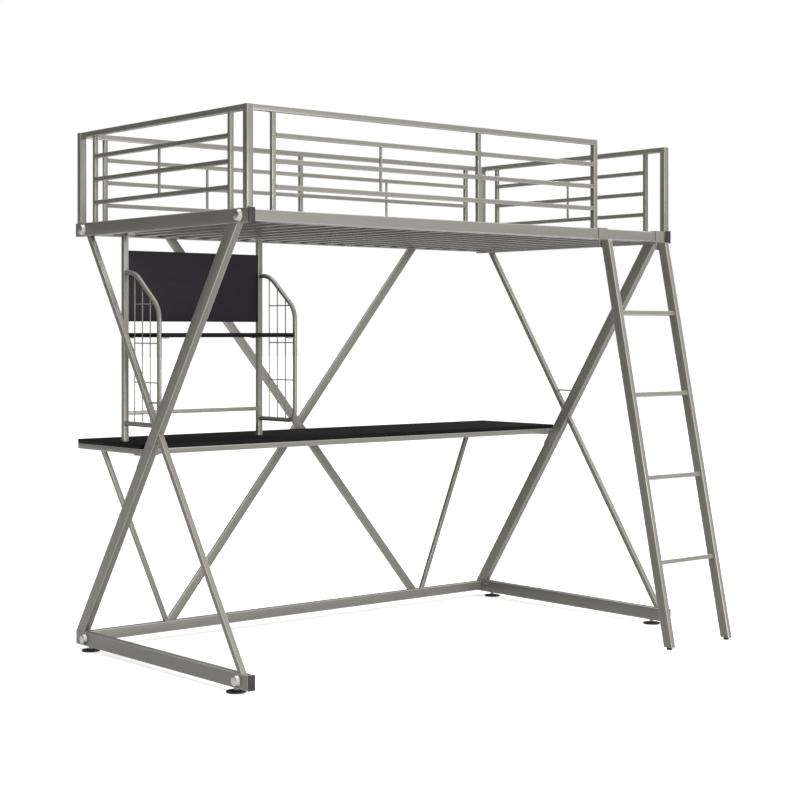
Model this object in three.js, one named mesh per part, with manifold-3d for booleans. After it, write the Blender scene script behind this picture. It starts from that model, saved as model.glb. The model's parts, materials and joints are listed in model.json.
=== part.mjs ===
// Twin loft bed with a full-length desk, a small hutch and a lift-off ladder.
// Units are millimetres. +Z is up, +X runs along the bed from the hutch end to the ladder end, and +Y runs
// from the ladder side to the back. The origin is on the floor, at the centre of the footprint.

import * as THREE from 'three';
import { mergeVertices } from 'three/addons/utils/BufferGeometryUtils.js';
import Module from 'manifold-3d';

const wasm = await Module();
wasm.setup();

// Overall sizes.
const overallLength = 1962; // over the outside faces of the two end frames
const endRailLength = 1060; // the tubes that run front to back, without their plugs
const platformHeight = 1485; // centre line of the platform rails
const baseHeight = 40.5; // centre line of the base rails

// Clearances.
const fit = 0.3; // between two pieces that touch
const runningFit = 0.5; // around a stem or bolt in its hole

// Tubes: width and height of the section, and wall.
const endTube = { width: 25, height: 48, wall: 1.5 };
const sideTube = { width: 25, height: 38, wall: 1.5 };
const legTube = { width: 25, height: 46, wall: 1.5 };
const endBraceTube = { width: 19, height: 19, wall: 1.2 };
const backBraceTube = { width: 10, height: 34, wall: 1.2 };
const strutTube = { width: 16, height: 16, wall: 1.2 };
const postTube = { width: 24, height: 24, wall: 1.5 };
const topTube = { width: 19, height: 19, wall: 1.2 };
const fillTube = { width: 15, height: 15, wall: 1.2 };
const deskTube = { width: 20, height: 19, wall: 1.2 };
const uprightTube = { width: 19, height: 19, wall: 1.2 };
const crossTube = { width: 14, height: 14, wall: 1.2 };
const stileTube = { width: 20, height: 38, wall: 1.5 };
const rungTube = { width: 20, height: 16, wall: 1.2 };

// Frame.
const sideRailInset = 18; // side rail centre line, in from the end of an end rail
const legTopInset = 87; // leg centre line at the platform, in from the front end of the rail
const legFootInset = 27; // leg centre line at the floor rail, in from its back end
const endBraceTopInset = 79;
const endBraceFootInset = 49;
const tieRodDiameter = 6;
const tieRodRise = 91; // above the place where the end brace crosses the leg
const backBraceInset = 380; // brace end on its rail, in from the outside of the end frame
const strutFootInset = 360; // strut foot on the base rail, in from the outside of the end frame
const strutTopInset = 94; // strut top on the desk frame, in from the outside of the end frame

// Guards.
const guardRise = 321; // from the top of the platform rails to the top of the guards
const guardPitch = 81; // between the guard rails
const guardRailCount = 3; // below the top rail
const guardPostInset = 107; // inner post centre, in from the outside of the corner post
const guardBarDiameter = 10;

// Slats.
const slatCount = 21;
const slatEndInset = 54; // first slat centre, in from the outside of the end frame
const slatWidth = 20;
const slatHeight = 14;
const slatWall = 1.2;
const slatStripWidth = 20;
const slatStripThickness = 3;

// Desk.
const deskTopHeight = 744.5; // floor to the work surface
const deskTopThickness = 15;
const deskBackInset = 6.5; // desk's back edge, in from the back of the side rail
const strutBackInset = 17; // strut centre line, in from the back of the side rail
const deskLegGap = 1; // between the desk's front edge and the leg
const deskTabLength = 70;
const deskTabDepth = 46;
const deskTabThickness = 4;
const deskTabClearance = 0.27; // between the tab's front edge and the leg
const deskScrewDiameter = 6;
const deskScrewCount = 4; // along each long rail

// Hutch.
const hutchEndInset = 54; // first upright's centre, in from the outside of the end frame
const hutchWidth = 568; // between the centres of the uprights
const hutchBackInset = 237; // upright centre, in from the back of the side rail
const boardDrop = 60; // below the slats' strips
const boardHeight = 246;
const boardThickness = 12;
const shelfDrop = 40; // below the board
const shelfThickness = 15;
const shelfFrontReach = 220; // in front of the uprights
const crossbarRise = 104.5; // above the desk
const tabThickness = 3;
const uprightTabLength = 28;

// Side racks, in front of each upright.
const rackTubeDiameter = 16;
const rackTubeWall = 1.2;
const rackRise = 209; // centre line of the top stub, above the shelf
const rackSlopeDrop = 125; // from the top stub down to where the slope meets the upright run
const rackFootRise = 62.5; // bottom run, above the desk
const rackStub = 55; // in front of the upright
const rackReach = 212;
const rackBendRadius = 42;
const rackWireDiameter = 4;
const rackWireCount = 3;
const rackWirePitch = 50;
const rackCrossWireDrop = 110; // first cross wire, below the top stub
const rackCrossWireCount = 3;
const rackLastCrossWireRise = 144; // last cross wire, above the bottom run

// Ladder.
const ladderEndInset = 61; // outer stile centre, in from the outside of the end frame
const ladderWidth = 312; // between the centres of the stiles
const ladderReach = 326; // stile centre at the floor, in front of the side rail
const ladderFootHeight = 8;
const rungCount = 4;
const rungFirst = 299;
const rungPitch = 298;
const hookWidth = 46;
const hookOffset = 6; // hook centre, towards the end of the bed from the stile's centre
const hookDrop = 27; // front plate, below the top of the stile
const hookThickness = 3;
const hookSlatClearance = 3;
const hookPostClearance = 2;
const ladderFootDiameter = 20;
const ladderStemDiameter = 8;
const ladderStemLength = 24;

// Plugs, bolt caps and levelling feet.
const plugLip = 4;
const plugDepth = 16;
const plugClearance = 0.4;
const capDiameter = 40;
const capHeight = 14;
const capRim = 2;
const capFaceDiameter = 31;
const capFaceRise = 1.5; // the face is slightly domed
const capShankDiameter = 8;
const capShankLength = 18;
const capTopInset = 48; // in from the end of the end rail
const capBaseInset = 60;
const levelFootDiameter = 65;
const levelFootThickness = 5;
const levelFootInset = 82; // in from the end of the base rail
const levelCollarDiameter = 16;
const levelStemDiameter = 10;
const levelStemLength = 24; // inside the base rail

// Facets.
const roundSides = 16;
const rodSides = 8;
const rackSides = 12;
const rackBendSteps = 5;

// Places that follow from the sizes above.
const endX = overallLength / 2 - endTube.width / 2;
const sideY = endRailLength / 2 - sideRailInset;
const sideFrontFace = -sideY - sideTube.width / 2;
const backFace = sideY + sideTube.width / 2;
const platformUnderside = platformHeight - endTube.height / 2;
const platformTop = platformHeight + endTube.height / 2;
const sideTop = platformHeight + sideTube.height / 2;
const baseTop = baseHeight + endTube.height / 2;
const baseUnderside = baseHeight - endTube.height / 2;
const sideLength = overallLength - 2 * endTube.width - 2 * fit;
const slatUnderside = platformHeight - sideTube.height / 2 + slatStripThickness;
const slatTop = slatUnderside + slatHeight;
const overallHeight = platformTop + guardRise;
const topRailHeight = overallHeight - topTube.height / 2;
const deskUnderside = deskTopHeight - deskTopThickness;
const deskFrameUnderside = deskUnderside - fit - deskTube.height;
const crossbarTop = deskTopHeight + crossbarRise;
const boardTop = slatUnderside - slatStripThickness - boardDrop;
const shelfTop = boardTop - boardHeight - shelfDrop;
const rackTop = shelfTop + rackRise;
const rackBend = rackTop - rackSlopeDrop;
const rackBottom = deskTopHeight + rackFootRise;
const rackCrossWireTop = rackTop - rackCrossWireDrop;
const backMemberY = backFace + fit + backBraceTube.width / 2;
const deskBack = backFace - deskBackInset;
const strutY = backFace - strutBackInset;
const hutchY = backFace - hutchBackInset;
const hutchFront = hutchY - uprightTube.height / 2;
const hutchLeft = -overallLength / 2 + hutchEndInset;
const hutchRight = hutchLeft + hutchWidth;
const hutchInnerWidth = hutchWidth - uprightTube.width - 2 * fit;
const ladderOuterX = overallLength / 2 - ladderEndInset;
const ladderInnerX = ladderOuterX - ladderWidth;
const xAxis = new THREE.Vector3(1, 0, 0);
const yAxis = new THREE.Vector3(0, 1, 0);

// The leg runs from the front of the platform to the back of the floor rail.
const legTopY = -endRailLength / 2 + legTopInset;
const legFootY = endRailLength / 2 - legFootInset;
const legSlope = (legFootY - legTopY) / (platformUnderside - baseTop);
const legHalfDepth = (legTube.height / 2) * Math.hypot(1, legSlope);

// The ladder leans on the front side rail.
const stileTop = platformHeight - sideTube.height / 2 - 4;
const stileFootY = sideFrontFace - ladderReach;
const hookFaceY = sideFrontFace - fit - hookThickness;
const stileSlope = stileLean();
const stileHalfDepth = (stileTube.height / 2) * Math.hypot(1, stileSlope);

const silver = { color: 0x8f8e88, roughness: 0.42, metalness: 0.75 };
const laminate = { color: 0x16161a, roughness: 0.5, metalness: 0.0 };
const boardFinish = { color: 0x29282c, roughness: 0.6, metalness: 0.0 };
const plastic = { color: 0x141414, roughness: 0.55, metalness: 0.0 };
const chrome = { color: 0xd4d4d2, roughness: 0.12, metalness: 1.0 };
const rubber = { color: 0x0d0d0d, roughness: 0.8, metalness: 0.0 };

const bed = new THREE.Group();

// Shape tools.

function point(x, y, z) {
  return new THREE.Vector3(x, y, z);
}

function toSolid(geometry) {
  const plain = geometry.index ? geometry.toNonIndexed() : geometry.clone();
  plain.deleteAttribute('normal');
  plain.deleteAttribute('uv');
  const merged = mergeVertices(plain, 1e-4);
  const vertProperties = new Float32Array(merged.attributes.position.array);
  const triVerts = new Uint32Array(merged.index.array);
  return new wasm.Manifold(new wasm.Mesh({ numProp: 3, vertProperties, triVerts }));
}

function toGeometry(solid) {
  const mesh = solid.getMesh();
  const geometry = new THREE.BufferGeometry();
  geometry.setAttribute('position', new THREE.BufferAttribute(mesh.vertProperties, 3));
  geometry.setIndex(new THREE.BufferAttribute(mesh.triVerts, 1));
  geometry.computeVertexNormals();
  return geometry;
}

function joined(solids) {
  return solids.reduce((sum, solid) => sum.add(solid));
}

function add(name, solid, finish) {
  const mesh = new THREE.Mesh(toGeometry(solid), new THREE.MeshStandardMaterial(finish));
  mesh.name = name;
  bed.add(mesh);
}

function block(x0, x1, y0, y1, z0, z1) {
  const geometry = new THREE.BoxGeometry(x1 - x0, y1 - y0, z1 - z0);
  geometry.translate((x0 + x1) / 2, (y0 + y1) / 2, (z0 + z1) / 2);
  return toSolid(geometry);
}

// A square-edged bar between two points. The section's width lies along `across`.
function bar(section, from, to, across) {
  const along = to.clone().sub(from);
  const length = along.length();
  along.normalize();
  const geometry = new THREE.BoxGeometry(section.width, section.height, length);
  geometry.translate(0, 0, length / 2);
  const frame = new THREE.Matrix4();
  frame.makeBasis(across, along.clone().cross(across), along);
  frame.setPosition(from);
  geometry.applyMatrix4(frame);
  return toSolid(geometry);
}

// The hollow inside such a bar. Each end is moved outwards by its own amount.
function bore(section, from, to, across, startOver = 1, endOver = startOver) {
  const along = to.clone().sub(from).normalize();
  const inner = {
    width: section.width - 2 * section.wall,
    height: section.height - 2 * section.wall,
  };
  const start = from.clone().addScaledVector(along, -startOver);
  const end = to.clone().addScaledVector(along, endOver);
  return bar(inner, start, end, across);
}

function tube(section, from, to, across) {
  return bar(section, from, to, across).subtract(bore(section, from, to, across));
}

function rod(diameter, from, to, sides = rodSides) {
  const along = to.clone().sub(from);
  const geometry = new THREE.CylinderGeometry(diameter / 2, diameter / 2, along.length(), sides);
  geometry.rotateX(Math.PI / 2);
  const turn = new THREE.Quaternion().setFromUnitVectors(point(0, 0, 1), along.clone().normalize());
  geometry.applyQuaternion(turn);
  const middle = from.clone().add(to).multiplyScalar(0.5);
  geometry.translate(middle.x, middle.y, middle.z);
  return toSolid(geometry);
}

// Keeps only what lies between two heights.
function between(solid, low, high) {
  const reach = overallLength + endRailLength;
  return solid.intersect(block(-reach, reach, -reach, reach, low, high));
}

// Turns a profile of [radius, height] points about +Z.
function turned(profile, sides = roundSides) {
  const points = profile.map(([radius, height]) => new THREE.Vector2(radius, height));
  const geometry = new THREE.LatheGeometry(points, sides);
  geometry.rotateX(Math.PI / 2);
  return geometry;
}

// Frame: the end frames.

function legY(z) {
  return legTopY + (platformUnderside - z) * legSlope;
}

function capPlaces(height) {
  const inset = height === platformHeight ? capTopInset : capBaseInset;
  const y = endRailLength / 2 - inset;
  return [-y, y];
}

function endRail(side, height) {
  const from = point(side * endX, -endRailLength / 2, height);
  const to = point(side * endX, endRailLength / 2, height);
  let rail = tube(endTube, from, to, xAxis);
  for (const y of capPlaces(height)) {
    const hole = rod(
      capShankDiameter + 2 * runningFit,
      point(side * endX, y, height),
      point(side * (endX + endTube.width), y, height),
      rodSides,
    );
    rail = rail.subtract(hole);
  }
  return rail;
}

function baseRail(side) {
  let rail = endRail(side, baseHeight);
  for (const y of levelFootPlaces()) {
    const x = side * endX;
    const hole = rod(levelStemDiameter + 2 * runningFit, point(x, y, 0), point(x, y, baseHeight), roundSides);
    rail = rail.subtract(hole);
  }
  return rail;
}

function legLine(side, over) {
  const top = platformUnderside + over;
  const foot = baseTop - over;
  return [point(side * endX, legY(foot), foot), point(side * endX, legY(top), top)];
}

function leg(side) {
  const [foot, top] = legLine(side, legTube.height);
  return between(tube(legTube, foot, top, xAxis), baseTop + fit, platformUnderside - fit);
}

// Everything from the leg's back face forwards, or from its front face backwards.
function legKeepOut(side, towards) {
  const [foot, top] = legLine(side, legTube.height);
  const reach = endRailLength;
  const shift = towards * ((reach - legTube.height) / 2 - fit);
  const normal = top.clone().sub(foot).normalize().cross(xAxis);
  const section = { width: 2 * legTube.width, height: reach };
  return bar(section, foot.clone().addScaledVector(normal, shift), top.clone().addScaledVector(normal, shift), xAxis);
}

function endBraceLine(side) {
  const topY = endRailLength / 2 - endBraceTopInset;
  const footY = -endRailLength / 2 + endBraceFootInset;
  const slope = (topY - footY) / (platformUnderside - baseTop);
  const over = endBraceTube.height;
  const foot = point(side * endX, footY - over * slope, baseTop - over);
  const top = point(side * endX, topY + over * slope, platformUnderside + over);
  return [foot, top];
}

function endBrace(side, upper) {
  const [foot, top] = endBraceLine(side);
  let brace = tube(endBraceTube, foot, top, xAxis);
  brace = between(brace, baseTop + fit, platformUnderside - fit);
  const halves = brace.subtract(legKeepOut(side, upper ? -1 : 1));
  return halves.decompose().reduce((best, piece) => (piece.volume() > best.volume() ? piece : best));
}

// The short rod that ties the upper brace to the leg.
function tieRod(side) {
  const [foot, top] = endBraceLine(side);
  const braceSlope = (top.y - foot.y) / (top.z - foot.z);
  const crossing = foot.z + (legY(foot.z) - foot.y) / (braceSlope + legSlope);
  const z = crossing + tieRodRise;
  const share = (z - foot.z) / (top.z - foot.z);
  const braceY = foot.y + share * (top.y - foot.y);
  const legBack = legY(z) + legHalfDepth;
  const from = point(side * endX, legBack + fit + tieRodDiameter, z);
  const to = point(side * endX, braceY - endBraceTube.height / 2 + endBraceTube.wall / 2, z);
  return rod(tieRodDiameter, from, to);
}

// Frame: rails and braces along the bed.

function sideRail(front) {
  const y = front ? -sideY : sideY;
  const from = point(-sideLength / 2, y, platformHeight);
  const to = point(sideLength / 2, y, platformHeight);
  return tube(sideTube, from, to, yAxis);
}

function backBaseRail() {
  const from = point(-sideLength / 2, sideY, baseHeight);
  const to = point(sideLength / 2, sideY, baseHeight);
  return tube(sideTube, from, to, yAxis);
}

function backBraceEnds(rising) {
  const reach = overallLength / 2 - backBraceInset;
  const footX = rising ? -reach : reach;
  return [point(footX, backMemberY, baseHeight), point(-footX, backMemberY, platformHeight)];
}

function longBackBrace() {
  const [foot, top] = backBraceEnds(false);
  return tube(backBraceTube, foot, top, yAxis);
}

function grown(section, gap) {
  return {
    width: section.width + 2 * gap,
    height: section.height + 2 * gap,
  };
}

// Leans from the back base rail out to the back corner of the desk frame.
function deskStrut(side) {
  const footX = side * (overallLength / 2 - strutFootInset);
  const topX = side * (overallLength / 2 - strutTopInset);
  const low = baseHeight + sideTube.height / 2 + fit;
  const high = deskFrameUnderside - fit;
  const foot = point(footX, strutY, low);
  const top = point(topX, strutY, high);
  const over = top.clone().sub(foot).setLength(strutTube.height);
  const shaft = tube(strutTube, foot.sub(over), top.add(over), yAxis);
  return between(shaft, low, high);
}

// The rising brace is two lengths that stop at the long one.
function splitBackBrace(upper) {
  const [foot, top] = backBraceEnds(true);
  const [longFoot, longTop] = backBraceEnds(false);
  const keepOut = bar(grown(backBraceTube, 1), longFoot, longTop, yAxis);
  const pieces = tube(backBraceTube, foot, top, yAxis).subtract(keepOut).decompose();
  const middle = (piece) => piece.boundingBox().min[2] + piece.boundingBox().max[2];
  pieces.sort((a, b) => middle(a) - middle(b));
  return upper ? pieces[pieces.length - 1] : pieces[0];
}

// Guards: welded grilles of square tube.

function guardHeights() {
  return Array.from({ length: guardRailCount }, (_, i) => topRailHeight - guardPitch * (i + 1));
}

// Welds a list of members into one hollow body. The bores join, and each post is open at its foot.
function weldment(members, bars) {
  const outside = joined(members.map((m) => bar(m.section, m.from, m.to, m.across)));
  const inside = joined(members.map((m) => bore(m.section, m.from, m.to, m.across, m.start, m.end)));
  return joined([outside.subtract(inside), ...bars]);
}

function guardPost(section, x, y, foot, top) {
  return { section, from: point(x, y, foot), to: point(x, y, top), across: xAxis, start: 1, end: -section.wall };
}

function guardRail(section, from, to, across) {
  return { section, from, to, across, start: -section.wall / 2, end: -section.wall / 2 };
}

function guardBar(x, y) {
  const heights = guardHeights();
  return rod(guardBarDiameter, point(x, y, heights[heights.length - 1]), point(x, y, heights[0]), rodSides);
}

function endGuard(side) {
  const x = side * endX;
  const cornerY = sideY;
  const innerY = sideY + postTube.height / 2 - guardPostInset;
  const foot = platformTop + fit;
  const members = [];
  for (const end of [-1, 1]) {
    members.push(guardPost(postTube, x, end * cornerY, foot, overallHeight));
    members.push(guardPost(fillTube, x, end * innerY, foot, topRailHeight));
  }
  members.push(guardRail(topTube, point(x, -cornerY, topRailHeight), point(x, cornerY, topRailHeight), xAxis));
  for (const z of guardHeights()) {
    members.push(guardRail(fillTube, point(x, -innerY, z), point(x, innerY, z), xAxis));
  }
  return weldment(members, [guardBar(x, 0)]);
}

function longGuard(y, postXs, endXs, barXs) {
  const foot = sideTop + fit;
  const [startX, stopX] = endXs;
  const members = postXs.map((post) => guardPost(post.section, post.x, y, foot, post.top));
  members.push(guardRail(topTube, point(startX, y, topRailHeight), point(stopX, y, topRailHeight), yAxis));
  const first = postXs[0].x;
  const last = postXs[postXs.length - 1].x;
  for (const z of guardHeights()) {
    members.push(guardRail(fillTube, point(first, y, z), point(last, y, z), yAxis));
  }
  return weldment(members, barXs.map((x) => guardBar(x, y)));
}

function backGuard() {
  const innerX = overallLength / 2 - guardPostInset;
  const cornerFace = endX - postTube.width / 2 - fit;
  const posts = [-innerX, 0, innerX].map((x) => ({ section: fillTube, x, top: topRailHeight }));
  return longGuard(sideY, posts, [-cornerFace, cornerFace], [-innerX / 2, innerX / 2]);
}

function frontGuard() {
  const innerX = overallLength / 2 - guardPostInset;
  const cornerFace = endX - postTube.width / 2 - fit;
  const gateX = ladderInnerX + hookOffset - hookWidth / 2 - hookPostClearance - topTube.width / 2;
  const posts = [
    { section: fillTube, x: -innerX, top: topRailHeight },
    { section: fillTube, x: 0, top: topRailHeight },
    { section: topTube, x: gateX, top: overallHeight },
  ];
  return longGuard(-sideY, posts, [-cornerFace, gateX], [-innerX / 2]);
}

// Slats, on a strip along each side rail.

function slatDeck() {
  const reach = sideY - sideTube.width / 2 - fit;
  const stripUnderside = slatUnderside - slatStripThickness;
  const half = sideLength / 2 - fit;
  const pieces = [];
  for (const side of [-1, 1]) {
    const inner = side * (reach - slatStripWidth);
    const outer = side * reach;
    const y0 = Math.min(inner, outer);
    pieces.push(block(-half, half, y0, y0 + slatStripWidth, stripUnderside, slatUnderside));
  }
  const section = { width: slatWidth, height: slatHeight, wall: slatWall };
  const firstX = -overallLength / 2 + slatEndInset;
  const pitch = (-2 * firstX) / (slatCount - 1);
  const z = slatUnderside + slatHeight / 2;
  for (let i = 0; i < slatCount; i += 1) {
    const x = firstX + i * pitch;
    pieces.push(tube(section, point(x, -reach, z), point(x, reach, z), xAxis));
  }
  return joined(pieces);
}

// Desk.

function deskFront() {
  return legY(deskFrameUnderside) + legHalfDepth + deskLegGap;
}

function deskTop() {
  const half = overallLength / 2;
  return block(-half, half, deskFront(), deskBack, deskUnderside, deskTopHeight);
}

// A flange that lies against the back of the leg, under the corner of the desk.
function deskTabFlange(side) {
  const low = deskFrameUnderside - deskTabDepth;
  const high = deskFrameUnderside;
  const halfTab = deskTabThickness / 2;
  const gap = (deskLegGap + halfTab) * Math.hypot(1, legSlope);
  const edge = (z) => legY(z) + legHalfDepth + gap;
  const x = side * endX;
  const section = { width: endTube.width - 4, height: deskTabThickness };
  const from = point(x, edge(low), low);
  const to = point(x, edge(high + halfTab), high + halfTab);
  return bar(section, from, to, xAxis).intersect(block(-2 * endX, 2 * endX, -endX, endX, low, high + halfTab));
}

function deskFrame() {
  const z = deskFrameUnderside + deskTube.height / 2;
  const half = overallLength / 2;
  const inset = deskTube.width / 2;
  const frontY = deskFront() + inset;
  const backY = deskBack - inset;
  const closed = -deskTube.wall;
  const members = [frontY, backY].map((y) => ({
    section: deskTube,
    from: point(-half, y, z),
    to: point(half, y, z),
    across: yAxis,
    start: closed,
    end: closed,
  }));
  for (const side of [-1, 1]) {
    const x = side * (half - inset);
    members.push({
      section: deskTube,
      from: point(x, frontY, z),
      to: point(x, backY, z),
      across: xAxis,
      start: 0,
      end: 0,
    });
  }
  const tabs = [];
  for (const side of [-1, 1]) {
    const x0 = Math.min(side * half, side * (half - deskTabLength));
    const low = deskFrameUnderside - deskTabThickness;
    const plateY = legY(low) + legHalfDepth + deskTabClearance;
    tabs.push(block(x0, x0 + deskTabLength, plateY, plateY + deskTabDepth, low, deskFrameUnderside + 0.4));
    tabs.push(deskTabFlange(side));
  }
  let frame = weldment(members, tabs);
  for (const y of [frontY, backY]) {
    for (let i = 0; i < deskScrewCount; i += 1) {
      const x = -half + (overallLength * (i + 0.5)) / deskScrewCount;
      const hole = rod(deskScrewDiameter, point(x, y, deskFrameUnderside - 1), point(x, y, deskUnderside), rodSides);
      frame = frame.subtract(hole);
    }
  }
  return frame;
}

// Hutch.

function upright(side) {
  const x = side < 0 ? hutchLeft : hutchRight;
  const low = deskTopHeight + fit;
  const high = slatUnderside - slatStripThickness - fit;
  const shaft = tube(uprightTube, point(x, hutchY, low), point(x, hutchY, high), xAxis);
  const face = x - (side * uprightTube.width) / 2;
  const tabEnd = face - side * uprightTabLength;
  const x0 = Math.min(face + side * 0.4, tabEnd);
  const x1 = Math.max(face + side * 0.4, tabEnd);
  const halfDepth = uprightTube.height / 2 - 2;
  const topTab = block(x0, x1, hutchY - halfDepth, hutchY + halfDepth, high - tabThickness, high);
  const shelfLow = shelfTop - shelfThickness - fit - tabThickness;
  const shelfTab = block(x0, x1, hutchY - halfDepth, hutchY + halfDepth, shelfLow, shelfLow + tabThickness);
  return joined([shaft, topTab, shelfTab]);
}

function crossbar() {
  const z = crossbarTop - crossTube.height / 2;
  const from = point(hutchLeft + uprightTube.width / 2 + fit, hutchY, z);
  const to = from.clone().setX(from.x + hutchInnerWidth);
  return tube(crossTube, from, to, yAxis);
}

function hutchBoard() {
  const x0 = hutchLeft + uprightTube.width / 2 + fit;
  const y0 = hutchFront;
  return block(x0, x0 + hutchInnerWidth, y0, y0 + boardThickness, boardTop - boardHeight, boardTop);
}

function hutchShelf() {
  const x0 = hutchLeft + uprightTube.width / 2 + fit;
  const back = hutchY + uprightTube.height / 2;
  return block(x0, x0 + hutchInnerWidth, hutchFront - shelfFrontReach, back, shelfTop - shelfThickness, shelfTop);
}

// A path through corners, each rounded by a quadratic curve that starts one bend length away.
function roundedPath(corners, bend) {
  const path = new THREE.CurvePath();
  let start = corners[0];
  for (let i = 1; i < corners.length - 1; i += 1) {
    const corner = corners[i];
    const before = corner.clone().add(corners[i - 1].clone().sub(corner).setLength(bend));
    const after = corner.clone().add(corners[i + 1].clone().sub(corner).setLength(bend));
    path.add(new THREE.LineCurve3(start, before));
    path.add(new THREE.QuadraticBezierCurve3(before, corner, after));
    start = after;
  }
  path.add(new THREE.LineCurve3(start, corners[corners.length - 1]));
  return path;
}

// A path through fixed stations, so that each ring of a swept tube falls on a station.
class StationPath extends THREE.Curve {
  constructor(stations) {
    super();
    this.stations = stations;
  }

  getPoint(t) {
    const last = this.stations.length - 1;
    const i = Math.min(Math.floor(t * last + 1e-6), last - 1);
    return this.stations[i].clone().lerp(this.stations[i + 1], t * last - i);
  }

  getPointAt(u) {
    return this.getPoint(u);
  }

  getTangentAt(u) {
    const last = this.stations.length - 1;
    const i = Math.round(u * last);
    const before = this.stations[Math.max(i - 1, 0)];
    const after = this.stations[Math.min(i + 1, last)];
    return after.clone().sub(before).normalize();
  }
}

function stationsOf(path, bendSteps) {
  const stations = [path.curves[0].getPoint(0)];
  for (const curve of path.curves) {
    const steps = curve.isLineCurve3 ? 1 : bendSteps;
    for (let i = 1; i <= steps; i += 1) {
      stations.push(curve.getPoint(i / steps));
    }
  }
  return stations;
}

function bentTube(corners, bend, radius) {
  const stations = stationsOf(roundedPath(corners, bend), rackBendSteps);
  const outline = new THREE.Shape();
  outline.absarc(0, 0, radius, 0, 2 * Math.PI);
  const geometry = new THREE.ExtrudeGeometry(outline, {
    steps: stations.length - 1,
    curveSegments: rackSides / 2,
    bevelEnabled: false,
    extrudePath: new StationPath(stations),
  });
  return toSolid(geometry);
}

function rackCorners(x, over) {
  const reachY = hutchFront - rackReach;
  return [
    point(x, hutchFront - fit + over, rackTop),
    point(x, hutchFront - rackStub, rackTop),
    point(x, reachY, rackBend),
    point(x, reachY, rackBottom),
    point(x, hutchFront - fit + over, rackBottom),
  ];
}

// Height of the rack tube's centre line above a place along its slope.
function rackSlopeHeight(y) {
  const share = (hutchFront - rackStub - y) / (rackReach - rackStub);
  return rackTop - Math.max(share, 0) * (rackTop - rackBend);
}

function rack(side) {
  const x = side < 0 ? hutchLeft : hutchRight;
  const outside = bentTube(rackCorners(x, 0), rackBendRadius, rackTubeDiameter / 2);
  const inside = bentTube(rackCorners(x, 1), rackBendRadius, rackTubeDiameter / 2 - rackTubeWall);
  const pieces = [outside.subtract(inside)];
  const wall = rackTubeDiameter / 2 - rackTubeWall / 2;
  const firstWireY = hutchFront - rackStub;
  for (let i = 0; i < rackWireCount; i += 1) {
    const y = firstWireY - i * rackWirePitch;
    const slopeDrop = wall * Math.hypot(1, i === 0 ? 0.45 : (rackTop - rackBend) / (rackReach - rackStub));
    const top = rackSlopeHeight(y) - slopeDrop;
    pieces.push(rod(rackWireDiameter, point(x, y, rackBottom + wall), point(x, y, top)));
  }
  const lastCrossWire = rackBottom + rackLastCrossWireRise;
  for (let i = 0; i < rackCrossWireCount; i += 1) {
    const z = rackCrossWireTop - ((rackCrossWireTop - lastCrossWire) * i) / (rackCrossWireCount - 1);
    const sloped = z > rackBend;
    const slopeY = hutchFront - rackStub - ((rackTop - z) / (rackTop - rackBend)) * (rackReach - rackStub);
    const tubeY = sloped ? slopeY + wall * 1.3 : hutchFront - rackReach + wall;
    pieces.push(rod(rackWireDiameter, point(x, tubeY, z), point(x, firstWireY + rackWireDiameter / 2, z)));
  }
  const tabLow = shelfTop - shelfThickness - fit - tabThickness;
  const tubeY = hutchFront - rackReach;
  const tabX0 = Math.min(x - side * wall, x - side * (wall + uprightTabLength));
  const tabX1 = tabX0 + uprightTabLength;
  pieces.push(block(tabX0, tabX1, tubeY - 6, tubeY + 6, tabLow, tabLow + tabThickness));
  return joined(pieces);
}

// Ladder.

// Slope of the stile's centre line, with its back edge at the hook plate.
function stileLean() {
  let slope = 0;
  for (let i = 0; i < 8; i += 1) {
    const half = (stileTube.height / 2) * Math.hypot(1, slope);
    slope = (hookFaceY - fit - half - stileFootY) / (stileTop - ladderFootHeight);
  }
  return slope;
}

function stileY(z) {
  return stileFootY + (z - ladderFootHeight) * stileSlope;
}

function ladderStile(x) {
  const over = stileTube.height;
  const from = point(x, stileY(ladderFootHeight - over), ladderFootHeight - over);
  const to = point(x, stileY(stileTop + over), stileTop + over);
  return between(tube(stileTube, from, to, xAxis), ladderFootHeight, stileTop);
}

function ladderRung(i) {
  const z = rungFirst + i * rungPitch;
  const gap = stileTube.width / 2 + fit;
  const lean = Math.atan(stileSlope);
  const across = point(0, Math.cos(lean), -Math.sin(lean));
  const from = point(ladderInnerX + gap, stileY(z), z);
  const to = point(ladderOuterX - gap, stileY(z), z);
  return tube(rungTube, from, to, across);
}

// A bent plate: a front leg behind the top of the stile, a bridge over the rail and a short back leg.
function ladderHook(x) {
  const railFront = sideFrontFace - fit;
  const railBack = sideFrontFace + sideTube.width + fit;
  const bridge = sideTop + fit;
  const frontTip = stileTop - hookDrop;
  const backTip = slatTop + hookSlatClearance;
  const outline = new THREE.Shape();
  outline.moveTo(railFront - hookThickness, frontTip);
  outline.lineTo(railFront, frontTip);
  outline.lineTo(railFront, bridge);
  outline.lineTo(railBack, bridge);
  outline.lineTo(railBack, backTip);
  outline.lineTo(railBack + hookThickness, backTip);
  outline.lineTo(railBack + hookThickness, bridge + hookThickness);
  outline.lineTo(railFront - hookThickness, bridge + hookThickness);
  outline.closePath();
  const geometry = new THREE.ExtrudeGeometry(outline, { depth: hookWidth, bevelEnabled: false });
  const frame = new THREE.Matrix4().makeBasis(yAxis, point(0, 0, 1), xAxis);
  frame.setPosition(x + hookOffset - hookWidth / 2, 0, 0);
  geometry.applyMatrix4(frame);
  return toSolid(geometry);
}

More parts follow.
